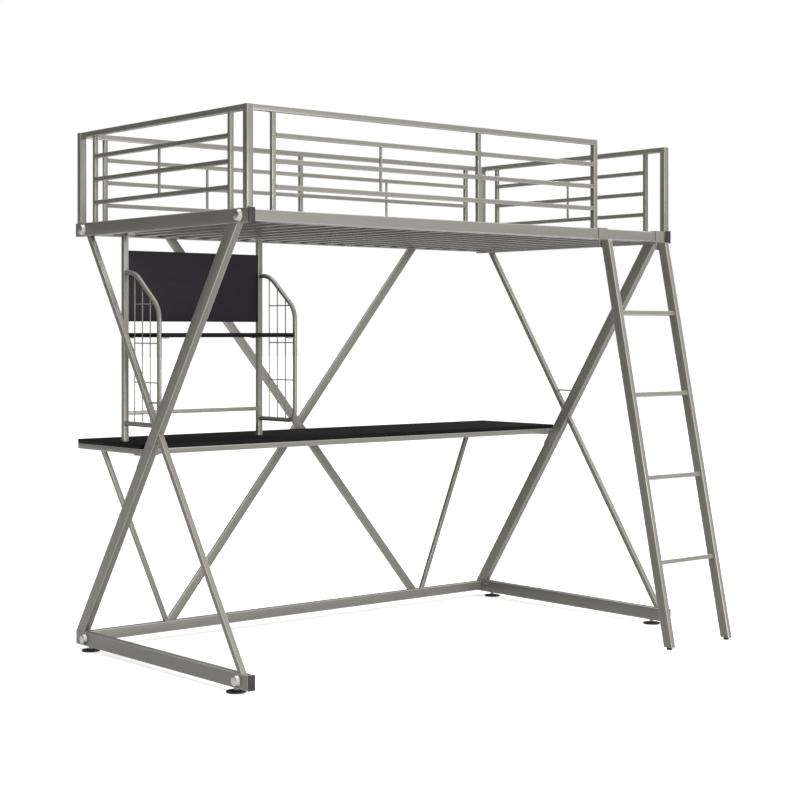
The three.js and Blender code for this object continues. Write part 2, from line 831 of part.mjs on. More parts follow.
function ladderFoot(x) {
  const radius = ladderFootDiameter / 2;
  const top = ladderFootHeight - fit;
  const stem = ladderStemDiameter / 2;
  const profile = [
    [0, 0],
    [radius * 0.7, 0],
    [radius * 0.94, 1.5],
    [radius, 4],
    [radius, top],
    [stem, top],
    [stem, top + ladderStemLength],
    [0, top + ladderStemLength],
  ];
  const geometry = turned(profile);
  geometry.translate(x, stileFootY, 0);
  return toSolid(geometry);
}

// Plugs, caps and levelling feet.

function railPlug(side, end, height) {
  const x = side * endX;
  const tubeEnd = (end * endRailLength) / 2;
  const lipFrom = point(x, tubeEnd + end * fit, height);
  const lipTo = point(x, tubeEnd + end * plugLip, height);
  const shrink = 2 * (endTube.wall + plugClearance);
  const stub = {
    width: endTube.width - shrink,
    height: endTube.height - shrink,
  };
  const stubFrom = point(x, tubeEnd - end * plugDepth, height);
  const stubTo = point(x, tubeEnd + end * plugLip * 0.5, height);
  return joined([bar(endTube, lipFrom, lipTo, xAxis), bar(stub, stubFrom, stubTo, xAxis)]);
}

function boltCap(side, y, height) {
  const radius = capDiameter / 2;
  const shank = capShankDiameter / 2;
  const face = capFaceDiameter / 2;
  const shoulder = capHeight - capFaceRise;
  const profile = [
    [0, -capShankLength],
    [shank, -capShankLength],
    [shank, 0],
    [radius, 0],
    [radius, capRim],
    [(radius + face) / 2 + 1, (capRim + shoulder) * 0.62],
    [face, shoulder],
    [face * 0.55, capHeight - capFaceRise * 0.3],
    [0, capHeight],
  ];
  const geometry = turned(profile);
  geometry.rotateY((side * Math.PI) / 2);
  geometry.translate(side * (overallLength / 2 + fit), y, height);
  return toSolid(geometry);
}

function levelFootPlaces() {
  const y = endRailLength / 2 - levelFootInset;
  return [-y, y];
}

function levelFoot(side, y) {
  const radius = levelFootDiameter / 2;
  const collar = levelCollarDiameter / 2;
  const stem = levelStemDiameter / 2;
  const collarTop = baseUnderside - fit;
  const profile = [
    [0, 0],
    [radius - 2, 0],
    [radius, 1.5],
    [radius - 1, 3.5],
    [radius - 6, levelFootThickness],
    [collar, levelFootThickness],
    [collar, collarTop],
    [stem, collarTop],
    [stem, collarTop + levelStemLength],
    [0, collarTop + levelStemLength],
  ];
  const geometry = turned(profile);
  geometry.translate(side * endX, y, 0);
  return toSolid(geometry);
}

// Assembly.

const sides = [
  { name: 'left', side: -1 },
  { name: 'right', side: 1 },
];

for (const { name, side } of sides) {
  add(`${name}_end_rail`, endRail(side, platformHeight), silver);
  add(`${name}_base_rail`, baseRail(side), silver);
  add(`${name}_leg`, leg(side), silver);
  add(`${name}_upper_brace`, endBrace(side, true).add(tieRod(side)), silver);
  add(`${name}_lower_brace`, endBrace(side, false), silver);
  add(`${name}_guard`, endGuard(side), silver);
  add(`${name}_desk_strut`, deskStrut(side), silver);
  add(`${name}_hutch_upright`, upright(side), silver);
  add(`${name}_rack`, rack(side), silver);
  add(`${name}_front_plug`, railPlug(side, -1, platformHeight), plastic);
  add(`${name}_back_plug`, railPlug(side, 1, platformHeight), plastic);
  add(`${name}_base_plug`, railPlug(side, -1, baseHeight), plastic);
  const [frontCapY, backCapY] = capPlaces(platformHeight);
  const [frontBaseCapY, backBaseCapY] = capPlaces(baseHeight);
  add(`${name}_front_bolt_cap`, boltCap(side, frontCapY, platformHeight), chrome);
  add(`${name}_back_bolt_cap`, boltCap(side, backCapY, platformHeight), chrome);
  add(`${name}_base_front_bolt_cap`, boltCap(side, frontBaseCapY, baseHeight), chrome);
  add(`${name}_base_back_bolt_cap`, boltCap(side, backBaseCapY, baseHeight), chrome);
  const [frontFootY, backFootY] = levelFootPlaces();
  add(`${name}_front_levelling_foot`, levelFoot(side, frontFootY), rubber);
  add(`${name}_back_levelling_foot`, levelFoot(side, backFootY), rubber);
}

add('front_side_rail', sideRail(true), silver);
add('back_side_rail', sideRail(false), silver);
add('back_base_rail', backBaseRail(), silver);
add('front_guard', frontGuard(), silver);
add('back_guard', backGuard(), silver);
add('slat_deck', slatDeck(), silver);
add('back_brace_long', longBackBrace(), silver);
add('back_brace_upper', splitBackBrace(true), silver);
add('back_brace_lower', splitBackBrace(false), silver);
add('desk_top', deskTop(), laminate);
add('desk_frame', deskFrame(), silver);
add('hutch_crossbar', crossbar(), silver);
add('hutch_board', hutchBoard(), boardFinish);
add('hutch_shelf', hutchShelf(), laminate);

const stiles = [
  { name: 'inner', x: ladderInnerX },
  { name: 'outer', x: ladderOuterX },
];
for (const { name, x } of stiles) {
  add(`ladder_${name}_stile`, ladderStile(x), silver);
  add(`ladder_${name}_hook`, ladderHook(x), silver);
  add(`ladder_${name}_foot`, ladderFoot(x), rubber);
}
for (let i = 0; i < rungCount; i += 1) {
  add(`ladder_rung_${i + 1}`, ladderRung(i), silver);
}

// Centres the footprint on the origin.
const footprint = new THREE.Box3().setFromObject(bed);
bed.position.x = -(footprint.min.x + footprint.max.x) / 2;
bed.position.y = -(footprint.min.y + footprint.max.y) / 2;

export default bed;
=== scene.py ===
"""Looks of a metal loft bed with a desk beneath it: steel tube, black laminate, chrome caps, rubber feet."""

import json
import math

import bmesh
import bpy
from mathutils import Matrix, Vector

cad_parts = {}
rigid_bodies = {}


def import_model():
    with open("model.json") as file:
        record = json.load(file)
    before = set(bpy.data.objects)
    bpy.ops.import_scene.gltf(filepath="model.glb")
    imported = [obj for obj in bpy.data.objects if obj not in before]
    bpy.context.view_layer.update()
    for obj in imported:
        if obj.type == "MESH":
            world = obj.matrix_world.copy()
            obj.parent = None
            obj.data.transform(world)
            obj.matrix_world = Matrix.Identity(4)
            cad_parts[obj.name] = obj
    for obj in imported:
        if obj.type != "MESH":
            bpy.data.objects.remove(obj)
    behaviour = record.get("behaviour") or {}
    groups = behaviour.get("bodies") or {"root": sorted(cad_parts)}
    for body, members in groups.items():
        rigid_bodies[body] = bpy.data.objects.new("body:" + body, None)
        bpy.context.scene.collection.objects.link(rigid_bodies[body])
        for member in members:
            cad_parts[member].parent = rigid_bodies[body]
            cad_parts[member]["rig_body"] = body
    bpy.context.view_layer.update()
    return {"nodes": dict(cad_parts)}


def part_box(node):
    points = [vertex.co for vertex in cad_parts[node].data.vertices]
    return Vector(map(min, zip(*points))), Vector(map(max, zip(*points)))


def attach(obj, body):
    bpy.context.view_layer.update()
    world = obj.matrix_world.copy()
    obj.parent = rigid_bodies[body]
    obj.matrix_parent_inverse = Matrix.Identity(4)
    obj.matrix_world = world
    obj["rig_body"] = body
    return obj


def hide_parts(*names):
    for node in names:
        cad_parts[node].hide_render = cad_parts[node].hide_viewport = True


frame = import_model()
nodes = frame["nodes"]

X, Y, Z = Vector((1, 0, 0)), Vector((0, 1, 0)), Vector((0, 0, 1))

# Corner radii of rolled tube and pressed parts, and the weld bead, in metres.
HEAVY_CORNER = 0.0026
LIGHT_CORNER = 0.0018
SLAT_CORNER = 0.0014
PANEL_EDGE = 0.0010
HOOK_CORNER = 0.0008
PLUG_CORNER = 0.0014
CORNER_STEPS = 4
WELD_RADIUS = 0.0014
CORNER_WELD_DROP = 0.0017

# How a solid's edges are read, in metres and degrees.
SAME_PLACE = 1e-6
FLAT_ANGLE = 0.6
OUTSIDE_CORNER = 50

# Sizes that the pieces share with the solids, in metres.
FIT = 0.0003
POST_TUBE = 0.024
TOP_TUBE = 0.019
FILL_TUBE = 0.015
GUARD_PITCH = 0.081
GUARD_POST_INSET = 0.107
RACK_TUBE = 0.016
RACK_WIRE = 0.004
RACK_STUB = 0.055
RACK_SLOPE_DROP = 0.125
RACK_BEND = 0.042
RACK_WIRE_PITCH = 0.050
RACK_CROSS_DROP = 0.110
RACK_CROSS_RISE = 0.144
FIRST_WIRE_SLOPE = 0.45
SLOPED_WALL = 1.3
UPRIGHT_TUBE = 0.019
THIN_WALL = 0.0012
OPEN_END_DEPTH = 0.006
LEAST_CORNER = 0.0003
TAB_THICKNESS = 0.003
TAB_SCREW_REACH = 0.024
TAB_HALF_WIDTH = 0.006
SLAT_COUNT = 21
SLAT_END_INSET = 0.054
SLAT_WIDTH = 0.020
SLAT_HEIGHT = 0.014
SLAT_STRIP_WIDTH = 0.020
SLAT_STRIP_THICKNESS = 0.003
STITCH_START = 0.003
STITCH_LENGTH = 0.013
STITCH_RADIUS = 0.0012
CAP_RADIUS = 0.020
CAP_FACE = 0.0155
CAP_SHANK = 0.004
CAP_SHANK_LENGTH = 0.018

# Levelling feet: the stem and its thread, in metres.
STEM_RADIUS = 0.005
THREAD_ROOT = 0.0043
THREAD_PITCH = 0.0015
STEM_FOOT = 0.0132

# End plugs and floor rail joints, in metres.
PLUG_RIM_HALF = (0.0200, 0.0085)
PLUG_RIM_RADIUS = 0.0006
JOINT_SCREW_SETBACKS = (0.010, 0.026)
JOINT_SCREW_RISE = 0.010

# Screws: radius and height of a head, in metres.
PAN_HEAD = (0.0046, 0.0022)
SMALL_HEAD = (0.0034, 0.0016)


# Shader groups.


def new_group(name, inputs, outputs):
    """An empty shader group. Inputs are (name, kind, default) and outputs are (name, kind)."""
    group = bpy.data.node_groups.new(name, "ShaderNodeTree")
    for label, kind, default in inputs:
        socket = group.interface.new_socket(name=label, in_out="INPUT", socket_type="NodeSocket" + kind)
        socket.default_value = default
    for label, kind in outputs:
        group.interface.new_socket(name=label, in_out="OUTPUT", socket_type="NodeSocket" + kind)
    enter = group.nodes.new("NodeGroupInput")
    leave = group.nodes.new("NodeGroupOutput")
    return group, enter, leave


def noise(tree, vector, scale, detail=3.0, rough=0.5):
    node = tree.nodes.new("ShaderNodeTexNoise")
    node.inputs["Detail"].default_value = detail
    node.inputs["Roughness"].default_value = rough
    tree.links.new(vector, node.inputs["Vector"])
    if hasattr(scale, "is_output"):
        tree.links.new(scale, node.inputs["Scale"])
    else:
        node.inputs["Scale"].default_value = scale
    return node.outputs["Fac"]


def calc(tree, operation, a, b=0.0, clamp=False):
    node = tree.nodes.new("ShaderNodeMath")
    node.operation = operation
    node.use_clamp = clamp
    for socket, value in zip(node.inputs, (a, b)):
        if hasattr(value, "is_output"):
            tree.links.new(value, socket)
        else:
            socket.default_value = value
    return node.outputs[0]


def remap(tree, value, low, high, to_low=0.0, to_high=1.0):
    node = tree.nodes.new("ShaderNodeMapRange")
    node.clamp = True
    for name, amount in (("From Min", low), ("From Max", high), ("To Min", to_low), ("To Max", to_high)):
        if hasattr(amount, "is_output"):
            tree.links.new(amount, node.inputs[name])
        else:
            node.inputs[name].default_value = amount
    tree.links.new(value, node.inputs["Value"])
    return node.outputs["Result"]


def blend_colour(tree, factor, a, b, mode="MIX"):
    node = tree.nodes.new("ShaderNodeMix")
    node.data_type = "RGBA"
    node.blend_type = mode
    slots = {"Factor": node.inputs[0], "A": node.inputs[6], "B": node.inputs[7]}
    for name, value in (("Factor", factor), ("A", a), ("B", b)):
        if hasattr(value, "is_output"):
            tree.links.new(value, slots[name])
        else:
            slots[name].default_value = value
    return node.outputs[2]


def texture_place(tree, stretch=None):
    place = tree.nodes.new("ShaderNodeTexCoord").outputs["Object"]
    if stretch is None:
        return place
    node = tree.nodes.new("ShaderNodeMapping")
    node.inputs["Scale"].default_value = stretch
    tree.links.new(place, node.inputs["Vector"])
    return node.outputs["Vector"]


def coat_texture_group():
    """Powder coat: a fine orange peel with slow drifts of tone and gloss."""
    group, enter, leave = new_group(
        "coat_texture",
        [("Grain Size", "Float", 900.0), ("Tone Drift", "Float", 0.1), ("Gloss", "Float", 0.4)],
        [("Height", "Float"), ("Tone", "Float"), ("Roughness", "Float")],
    )
    place = texture_place(group)
    peel = noise(group, place, enter.outputs["Grain Size"], 2.0, 0.6)
    cell = group.nodes.new("ShaderNodeTexVoronoi")
    cell.feature = "SMOOTH_F1"
    group.links.new(place, cell.inputs["Vector"])
    group.links.new(calc(group, "MULTIPLY", enter.outputs["Grain Size"], 0.7), cell.inputs["Scale"])
    cells = calc(group, "MULTIPLY", cell.outputs[0], 0.5)
    height = calc(group, "ADD", calc(group, "MULTIPLY", peel, 0.6), cells)
    drift = noise(group, place, 5.0, 4.0, 0.55)
    fine = noise(group, place, 60.0, 3.0, 0.6)
    mixed = calc(group, "ADD", calc(group, "MULTIPLY", drift, 0.65), calc(group, "MULTIPLY", fine, 0.35))
    swing = calc(group, "MULTIPLY", calc(group, "SUBTRACT", mixed, 0.5), enter.outputs["Tone Drift"])
    speck = calc(group, "MULTIPLY", calc(group, "SUBTRACT", peel, 0.5), 0.12)
    tone = calc(group, "ADD", calc(group, "ADD", swing, speck), 1.0)
    gloss_swing = calc(group, "MULTIPLY", calc(group, "SUBTRACT", mixed, 0.5), 0.22)
    rough = calc(group, "ADD", enter.outputs["Gloss"], gloss_swing)
    group.links.new(height, leave.inputs["Height"])
    group.links.new(tone, leave.inputs["Tone"])
    group.links.new(calc(group, "ADD", rough, 0.0, True), leave.inputs["Roughness"])
    return group


def handling_wear_group():
    """Rubbed places and short scuffs, as a mask."""
    group, enter, leave = new_group(
        "handling_wear",
        [("Amount", "Float", 0.3), ("Patch Size", "Float", 7.0)],
        [("Wear", "Float"), ("Scuff", "Float")],
    )
    place = texture_place(group)
    patch = noise(group, place, enter.outputs["Patch Size"], 5.0, 0.6)
    grit = noise(group, place, 160.0, 4.0, 0.7)
    mask = calc(group, "MULTIPLY", remap(group, patch, 0.52, 0.74), remap(group, grit, 0.42, 0.7))
    streak = noise(group, texture_place(group, (22.0, 22.0, 260.0)), 1.0, 3.0, 0.6)
    across = noise(group, texture_place(group, (240.0, 30.0, 30.0)), 1.0, 3.0, 0.6)
    scuff = calc(group, "MAXIMUM", remap(group, streak, 0.66, 0.76), remap(group, across, 0.67, 0.77))
    scuff = calc(group, "MULTIPLY", scuff, remap(group, patch, 0.46, 0.62))
    group.links.new(calc(group, "MULTIPLY", mask, enter.outputs["Amount"], True), leave.inputs["Wear"])
    group.links.new(calc(group, "MULTIPLY", scuff, enter.outputs["Amount"], True), leave.inputs["Scuff"])
    return group


def edge_wear_and_highlight_group():
    """Thin lines along corners, as a mask: a painted highlight on the powder coat, rubbed wear on the
    laminate and plastic.
    """
    group, enter, leave = new_group(
        "edge_wear_and_highlight",
        [("Width", "Float", 0.0015), ("Amount", "Float", 0.5)],
        [("Edge", "Float")],
    )
    soft = group.nodes.new("ShaderNodeBevel")
    soft.samples = 4
    group.links.new(enter.outputs["Width"], soft.inputs["Radius"])
    plain = group.nodes.new("ShaderNodeNewGeometry")
    dot = group.nodes.new("ShaderNodeVectorMath")
    dot.operation = "DOT_PRODUCT"
    group.links.new(soft.outputs["Normal"], dot.inputs[0])
    group.links.new(plain.outputs["Normal"], dot.inputs[1])
    turn = calc(group, "SUBTRACT", 1.0, dot.outputs["Value"])
    broken = remap(group, noise(group, texture_place(group), 45.0, 4.0, 0.65), 0.2, 0.5)
    edge = calc(group, "MULTIPLY", remap(group, turn, 0.01, 0.16), broken)
    group.links.new(calc(group, "MULTIPLY", edge, enter.outputs["Amount"], True), leave.inputs["Edge"])
    return group


def dust_group():
    """Dust that settles on faces that look up, as a mask."""
    group, enter, leave = new_group("settled_dust", [("Amount", "Float", 0.1)], [("Dust", "Float")])
    plain = group.nodes.new("ShaderNodeNewGeometry")
    split = group.nodes.new("ShaderNodeSeparateXYZ")
    group.links.new(plain.outputs["Normal"], split.inputs[0])
    up = remap(group, split.outputs["Z"], 0.3, 1.0)
    patchy = remap(group, noise(group, texture_place(group), 14.0, 6.0, 0.6), 0.35, 0.75)
    dust = calc(group, "MULTIPLY", calc(group, "MULTIPLY", up, patchy), enter.outputs["Amount"], True)
    group.links.new(dust, leave.inputs["Dust"])
    return group


COAT = coat_texture_group()
WEAR = handling_wear_group()
EDGE = edge_wear_and_highlight_group()
DUST = dust_group()


# Materials.


def new_material(name, base, rough, metal=0.0):
    made = bpy.data.materials.new(name)
    made.use_nodes = True
    shader = made.node_tree.nodes["Principled BSDF"]
    shader.inputs["Base Color"].default_value = (*base, 1.0)
    shader.inputs["Roughness"].default_value = rough
    shader.inputs["Metallic"].default_value = metal
    return made, made.node_tree, shader


def placed(tree, group, **values):
    node = tree.nodes.new("ShaderNodeGroup")
    node.node_tree = group
    for name, value in values.items():
        node.inputs[name.replace("_", " ")].default_value = value
    return node.outputs


def bump_into(tree, shader, height, distance, strength=1.0):
    node = tree.nodes.new("ShaderNodeBump")
    node.inputs["Distance"].default_value = distance
    node.inputs["Strength"].default_value = strength
    tree.links.new(height, node.inputs["Height"])
    tree.links.new(node.outputs["Normal"], shader.inputs["Normal"])


def toned(tree, colour, tone):
    grey = tree.nodes.new("ShaderNodeCombineColor")
    for channel in ("Red", "Green", "Blue"):
        tree.links.new(tone, grey.inputs[channel])
    return blend_colour(tree, 1.0, colour, grey.outputs["Color"], "MULTIPLY")


def powder_coat(name, base, gloss, drift=0.12, wear=0.25):
    made, tree, shader = new_material(name, base, gloss, 0.3)
    coat = placed(tree, COAT, Grain_Size=850.0, Tone_Drift=drift, Gloss=gloss)
    rub = placed(tree, WEAR, Amount=wear, Patch_Size=6.0)
    edge = placed(tree, EDGE, Width=0.0009, Amount=0.6)
    dust = placed(tree, DUST, Amount=0.12)
    colour = toned(tree, (*base, 1.0), coat["Tone"])
    # A lighter colour along the corners: painted highlight, standing in for the glint of the coat's rounded
    # edges.
    edge_highlight_colour = tuple(min(1.0, channel * 1.9 + 0.10) for channel in base)
    dull = tuple(channel * 0.62 for channel in base)
    colour = blend_colour(tree, rub["Wear"], colour, (*dull, 1.0))
    colour = blend_colour(tree, edge["Edge"], colour, (*edge_highlight_colour, 1.0))
    colour = blend_colour(tree, dust["Dust"], colour, (0.42, 0.40, 0.37, 1.0))
    tree.links.new(colour, shader.inputs["Base Color"])
    rough = calc(tree, "ADD", coat["Roughness"], calc(tree, "MULTIPLY", rub["Wear"], 0.25))
    rough = calc(tree, "SUBTRACT", rough, calc(tree, "MULTIPLY", rub["Scuff"], 0.12), True)
    rough = calc(tree, "ADD", rough, calc(tree, "MULTIPLY", dust["Dust"], 0.8), True)
    tree.links.new(rough, shader.inputs["Roughness"])
    metal = calc(tree, "SUBTRACT", 0.30, calc(tree, "MULTIPLY", dust["Dust"], 0.8), True)
    tree.links.new(metal, shader.inputs["Metallic"])
    height = calc(tree, "SUBTRACT", coat["Height"], calc(tree, "MULTIPLY", rub["Scuff"], 0.5))
    bump_into(tree, shader, height, 0.00012, 0.55)
    shader.inputs["Coat Weight"].default_value = 0.45
    shader.inputs["Coat Roughness"].default_value = 0.16
    return made


def laminate(name, base, gloss, pore, sheen):
    """Thermofused laminate: a printed pore pattern along the panel, a soft sheen and faint wipe marks."""
    made, tree, shader = new_material(name, base, gloss)
    shader.inputs["Specular IOR Level"].default_value = sheen
    grain = noise(tree, texture_place(tree, (9.0, 170.0, 170.0)), 1.0, 6.0, 0.62)
    fibre = noise(tree, texture_place(tree, (40.0, 900.0, 900.0)), 1.0, 3.0, 0.7)
    cloud = noise(tree, texture_place(tree), 3.2, 5.0, 0.6)
    pores = remap(tree, fibre, 0.56, 0.72)
    lines = remap(tree, grain, 0.35, 0.7)
    light = tuple(channel * 1.35 + 0.001 for channel in base)
    dark = tuple(channel * 0.55 for channel in base)
    colour = blend_colour(tree, calc(tree, "MULTIPLY", lines, 0.45), (*base, 1.0), (*light, 1.0))
    colour = blend_colour(tree, calc(tree, "MULTIPLY", pores, pore), colour, (*dark, 1.0))
    rub = placed(tree, WEAR, Amount=0.5, Patch_Size=4.0)
    dust = placed(tree, DUST, Amount=0.012)
    edge = placed(tree, EDGE, Width=0.0012, Amount=0.2)
    rubbed = tuple(channel * 2.2 + 0.006 for channel in base)
    colour = blend_colour(tree, edge["Edge"], colour, (*rubbed, 1.0))
    colour = blend_colour(tree, dust["Dust"], colour, (0.32, 0.31, 0.29, 1.0))
    tree.links.new(colour, shader.inputs["Base Color"])
    rough = calc(tree, "ADD", gloss - 0.09, calc(tree, "MULTIPLY", cloud, 0.16))
    rough = calc(tree, "ADD", rough, calc(tree, "MULTIPLY", pores, 0.12))
    rough = calc(tree, "ADD", rough, calc(tree, "MULTIPLY", rub["Scuff"], 0.18), True)
    tree.links.new(rough, shader.inputs["Roughness"])
    height = calc(tree, "SUBTRACT", calc(tree, "MULTIPLY", lines, 0.35), pores)
    bump_into(tree, shader, height, 0.00008, 0.6)
    return made


def moulded_plastic(name, base, gloss, grain_size, depth, sheen=0.5):
    made, tree, shader = new_material(name, base, gloss)
    shader.inputs["Specular IOR Level"].default_value = sheen
    coat = placed(tree, COAT, Grain_Size=grain_size, Tone_Drift=0.3, Gloss=gloss)
    rub = placed(tree, WEAR, Amount=0.55, Patch_Size=26.0)
    dust = placed(tree, DUST, Amount=0.2)
    edge = placed(tree, EDGE, Width=0.001, Amount=0.4)
    colour = toned(tree, (*base, 1.0), coat["Tone"])
    scuffed = tuple(channel * 2.4 + 0.01 for channel in base)
    rubbed = tuple(channel * 3.2 + 0.015 for channel in base)
    colour = blend_colour(tree, rub["Wear"], colour, (*scuffed, 1.0))
    colour = blend_colour(tree, edge["Edge"], colour, (*rubbed, 1.0))
    colour = blend_colour(tree, dust["Dust"], colour, (0.3, 0.29, 0.27, 1.0))
    tree.links.new(colour, shader.inputs["Base Color"])
    tree.links.new(coat["Roughness"], shader.inputs["Roughness"])
    bump_into(tree, shader, coat["Height"], depth, 0.7)
    return made


def bright_metal(name, base, gloss, brushed):
    """Plated metal with hairlines, water spots and slight dulling."""
    made, tree, shader = new_material(name, base, gloss, 1.0)
    spots = remap(tree, noise(tree, texture_place(tree), 220.0, 5.0, 0.6), 0.45, 0.75)
    cloud = noise(tree, texture_place(tree), 38.0, 4.0, 0.6)
    hair = noise(tree, texture_place(tree, (3000.0, 260.0, 3000.0)), 1.0, 2.0, 0.6)
    dull = tuple(channel * 0.72 for channel in base)
    colour = blend_colour(tree, calc(tree, "MULTIPLY", spots, 0.35), (*base, 1.0), (*dull, 1.0))
    tree.links.new(colour, shader.inputs["Base Color"])
    rough = calc(tree, "ADD", gloss - 0.03, calc(tree, "MULTIPLY", cloud, 0.09))
    rough = calc(tree, "ADD", rough, calc(tree, "MULTIPLY", spots, 0.1))
    rough = calc(tree, "ADD", rough, calc(tree, "MULTIPLY", hair, brushed), True)
    tree.links.new(rough, shader.inputs["Roughness"])
    bump_into(tree, shader, hair, 0.00003, 0.3 + brushed)
    return made


TUBE_GREY = (0.262, 0.251, 0.222)
tube_coat = powder_coat("tube_powder_coat", TUBE_GREY, 0.40)
# Darker than the tube coat: painted shade for the slat deck's underside.
slat_coat_painted_shade = powder_coat("slat_powder_coat_painted_shade", (0.190, 0.181, 0.160), 0.44, 0.15, 0.35)
ladder_coat = powder_coat("ladder_powder_coat", TUBE_GREY, 0.43, 0.12, 0.4)
# A lighter copy of the tube coat for the rounded corner faces: painted highlight along every corner.
corner_highlight_coat = powder_coat("corner_powder_coat_painted_highlight", (0.50, 0.485, 0.445), 0.3, 0.12, 0.3)
weld_coat = powder_coat("weld_powder_coat", (0.235, 0.226, 0.200), 0.5, 0.25, 0.2)
desk_laminate = laminate("desk_black_laminate", (0.0040, 0.0040, 0.0052), 0.58, 0.7, 0.03)
board_laminate = laminate("board_charcoal_laminate", (0.021, 0.0185, 0.0235), 0.46, 0.7, 0.1)
edge_band = moulded_plastic("black_edge_band", (0.004, 0.004, 0.0045), 0.5, 500.0, 0.00004, 0.1)
plug_plastic = moulded_plastic("moulded_black_plastic", (0.022, 0.0215, 0.022), 0.48, 1400.0, 0.00008)
foot_plastic = moulded_plastic("levelling_foot_plastic", (0.008, 0.008, 0.0085), 0.5, 1100.0, 0.0001)
foot_rubber = moulded_plastic("button_rubber", (0.012, 0.012, 0.012), 0.72, 1800.0, 0.0001)
chrome = bright_metal("chrome_plate", (0.60, 0.59, 0.56), 0.27, 0.05)
zinc = bright_metal("zinc_plate", (0.42, 0.41, 0.39), 0.3, 0.12)


# Mesh tools.


def mesh_from(name, work, smooth_angle=35.0):
    """Turns bmesh work into an object with smooth rounds and crisp edges."""
    bmesh.ops.recalc_face_normals(work, faces=work.faces)
    data = bpy.data.meshes.new(name)
    work.to_mesh(data)
    work.free()
    data.shade_smooth()
    made = bpy.data.objects.new(name, data)
    bpy.context.scene.collection.objects.link(made)
    data.set_sharp_from_angle(angle=math.radians(smooth_angle))
    return made


def finished(made, body, material):
    made.data.materials.append(material)
    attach(made, body)
    return made


def body_of(node):
    return nodes[node]["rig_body"]


def rolled(node, corner, material, corner_material=None):
    """The node's own shape with its long outside edges rounded, as rolling and pressing leave them."""
    low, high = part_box(node)
    work = bmesh.new()
    work.from_mesh(nodes[node].data)
    bmesh.ops.remove_doubles(work, verts=work.verts, dist=SAME_PLACE)
    bmesh.ops.dissolve_limit(work, angle_limit=math.radians(FLAT_ANGLE), verts=work.verts, edges=work.edges)
    picked = []
    for edge in work.edges:
        if len(edge.link_faces) != 2:
            continue
        if edge.calc_face_angle_signed() < math.radians(OUTSIDE_CORNER):
            continue
        length = max(edge.calc_length(), SAME_PLACE)
        narrowest = min(face.calc_area() / length for face in edge.link_faces)
        if narrowest < corner * 1.3:
            continue
        picked.append(edge)
    bmesh.ops.bevel(
        work,
        geom=picked,
        offset=corner,
        offset_type="OFFSET",
        segments=CORNER_STEPS,
        profile=0.5,
        affect="EDGES",
        clamp_overlap=False,
        loop_slide=True,
        material=1 if corner_material else -1,
    )
    for vert in work.verts:
        vert.co = [min(max(value, least), most) for value, least, most in zip(vert.co, low, high)]
    made = mesh_from(node + "_rolled", work)
    finished(made, body_of(node), material)
    if corner_material:
        made.data.materials.append(corner_material)
    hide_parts(node)
    return made


def ring_round(work, centre, side, up, radius, sides):
    turns = [2 * math.pi * k / sides for k in range(sides)]
    places = [centre + side * (radius * math.cos(t)) + up * (radius * math.sin(t)) for t in turns]
    return [work.verts.new(place) for place in places]


def skin(work, rings, closed=False):
    """Faces between rings of the same length; open ends are capped."""
    pairs = list(zip(rings, rings[1:])) + ([(rings[-1], rings[0])] if closed else [])
    for a, b in pairs:
        for k in range(len(a)):
            m = (k + 1) % len(a)
            work.faces.new((a[k], a[m], b[m], b[k]))
    if not closed:
        work.faces.new(list(reversed(rings[0])))
        work.faces.new(rings[-1])


def swept(work, points, radius, sides=20, across=X, closed=False):
    """A round rod along points that lie in the plane square to across."""
    rings = []
    for i, place in enumerate(points):
        before = points[i - 1] if i or closed else place
        after = points[(i + 1) % len(points)] if i + 1 < len(points) or closed else place
        along = (after - before).normalized()
        rings.append(ring_round(work, place, across, along.cross(across), radius, sides))
    skin(work, rings, closed)


def turned(work, centre, axis, profile, sides=40):
    """Profile is (radius, height) pairs along the axis; a radius of zero closes the end."""
    side = axis.orthogonal().normalized()
    up = axis.cross(side)
    rings = [ring_round(work, centre + axis * h, side, up, max(r, 0.00004), sides) for r, h in profile]
    skin(work, rings)


def rounded_loop(centre, u, v, half_u, half_v, corner, steps=4):
    """Points of a rounded rectangle round a tube."""
    points = []
    for quarter, (su, sv) in enumerate(((1, 1), (-1, 1), (-1, -1), (1, -1))):
        for k in range(steps + 1):
            turn = math.radians(90 * (quarter + k / steps))
            middle = centre + u * (su * (half_u - corner)) + v * (sv * (half_v - corner))
            points.append(middle + u * (corner * math.cos(turn)) + v * (corner * math.sin(turn)))
    return points


def weld(work, centre, axis, half_u, half_v, corner=0.002, radius=WELD_RADIUS):
    """A bead round a square tube where it meets another, a little uneven as a hand weld is."""
    u = Z if abs(axis.z) < 0.5 else X
    v = axis.cross(u)
    rings = []
    loop = rounded_loop(centre, u, v, half_u, half_v, corner)
    for i, place in enumerate(loop):
        along = (loop[(i + 1) % len(loop)] - loop[i - 1]).normalized()
        swell = radius * (1.0 + 0.16 * math.sin(i * 2.4 + centre.x * 90 + centre.z * 40))
        rings.append(ring_round(work, place, axis, along.cross(axis), swell, 6))
    skin(work, rings, True)


def plate(work, low, high):
    corners = bmesh.ops.create_cube(work, size=1.0)["verts"]
    for corner in corners:
        share = corner.co + Vector((0.5, 0.5, 0.5))
        corner.co = Vector([a + (b - a) * k for a, b, k in zip(low, high, share)])
    edges = {edge for corner in corners for edge in corner.link_edges}
    size = min(b - a for a, b in zip(low, high)) * 0.22
    bmesh.ops.bevel(
        work,
        geom=list(edges),
        offset=size,
        offset_type="OFFSET",
        segments=3,
        profile=0.5,
        affect="EDGES",
    )


def screw_head(work, place, axis, size):
    """A domed screw head with a recess, standing on a face."""
    radius, height = size
    profile = [
        (radius, 0),
        (radius, height * 0.35),
        (radius * 0.86, height * 0.75),
        (radius * 0.5, height * 0.98),
        (radius * 0.3, height),
        (radius * 0.22, height * 0.4),
        (0, height * 0.3),
    ]
    turned(work, place, axis, profile, 20)


